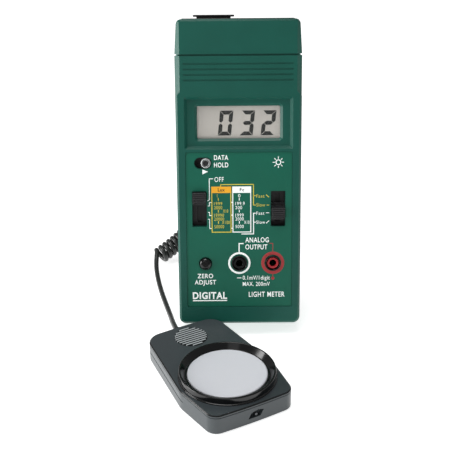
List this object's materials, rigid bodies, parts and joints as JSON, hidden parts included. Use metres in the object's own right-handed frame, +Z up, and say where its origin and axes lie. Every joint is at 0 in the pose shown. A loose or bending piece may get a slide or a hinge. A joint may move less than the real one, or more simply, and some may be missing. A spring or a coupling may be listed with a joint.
{
  "type": "light meter",
  "caption": "Hand-held digital light meter leaning on its tilt stand, with a domed sensor head on a curly cord, slide switches and output jacks.",
  "frame": {"origin": "on the bench under the middle of the meter and its sensor head, measured without the free cord", "axes": "+X to the right as the face is read, +Y away from the reader, from the sensor head to the tilt stand, +Z up"},
  "size_m": [0.0903, 0.2254, 0.1746],
  "materials": {
    "case_green": "fine-textured moulded plastic",
    "black_plastic": "satin",
    "cord_rubber": "satin",
    "clear_window": "polished",
    "lcd": "glass-smooth grey",
    "soft_rubber": "matte",
    "printed_label": "printed satin film",
    "board": "lacquered",
    "component_blue": "gloss",
    "black_knob": "satin",
    "gloss_black": "gloss",
    "red_jack": "gloss",
    "nickel": "plated",
    "steel": "zinc plated",
    "battery_jacket": "printed steel jacket",
    "head_grey": "fine satin",
    "diffuser_white": "translucent",
    "filter_glass": "polished"
  },
  "bodies": {
    "instrument": {"amplifier_chips": "black_plastic", "battery": "battery_jacket", "battery_leads": "cord_rubber", "battery_snap": "black_plastic", "black_jack": "gloss_black", "board_pillars": "head_grey", "board_screws": "steel", "capacitors": "component_blue", "case_screws": "steel", "catch_pin": "steel", "circuit_board": "board", "cord_coil": "cord_rubber", "cord_lead": "cord_rubber", "cord_tail": "cord_rubber", "diffuser": "diffuser_white", "front_label": "printed_label", "front_shell": "case_green", "hold_switch": "black_plastic", "jack_nuts": "nickel", "jack_sleeves": "nickel", "lcd_contact_strips": "soft_rubber", "lcd_glass": "lcd", "lcd_holder": "black_plastic", "lcd_window": "clear_window", "light_filter": "filter_glass", "main_chip": "black_plastic", "photodiode": "nickel", "plug_relief": "cord_rubber", "range_switch": "black_plastic", "rear_shell": "case_green", "red_jack": "red_jack", "response_switch": "black_plastic", "sensor_board": "board", "sensor_lower_shell": "head_grey", "sensor_plug": "black_plastic", "sensor_relief": "cord_rubber", "sensor_ring": "gloss_black", "sensor_screws": "steel", "sensor_socket": "black_plastic", "sensor_upper_shell": "head_grey", "stand_pin": "steel", "top_end_panel": "black_plastic", "trimmers": "component_blue", "zero_switch": "black_plastic"},
    "range_knob": {"range_knob": "black_knob"},
    "response_knob": {"response_knob": "black_knob"},
    "hold_knob": {"hold_knob": "black_knob"},
    "zero_button": {"zero_button": "gloss_black"},
    "battery_door": {"battery_door": "case_green"},
    "tilt_stand": {"tilt_stand": "case_green"}
  },
  "joints": [
    {"name": "range_slide", "type": "slide", "parent": "instrument", "child": "range_knob", "axis": [0, -0.279, -0.9603], "range_m": [0, 0.0132]},
    {"name": "response_slide", "type": "slide", "parent": "instrument", "child": "response_knob", "axis": [0, 0.279, 0.9603], "range_m": [-0.0044, 0.0088]},
    {"name": "hold_slide", "type": "slide", "parent": "instrument", "child": "hold_knob", "axis": [-1, 0, 0], "range_m": [0, 0.0032]},
    {"name": "zero_press", "type": "slide", "parent": "instrument", "child": "zero_button", "axis": [0, 0.9603, -0.279], "range_m": [0, 0.001], "stiffness_N_per_m": 400},
    {"name": "door_slide", "type": "slide", "parent": "instrument", "child": "battery_door", "axis": [1, 0, 0], "range_m": [0, 0.06]},
    {"name": "stand_hinge", "type": "hinge", "parent": "instrument", "child": "tilt_stand", "pos_m": [0.00785, 0.0596, 0.08868], "axis": [1, 0, 0], "range_deg": [-22, 0]}
  ]
}
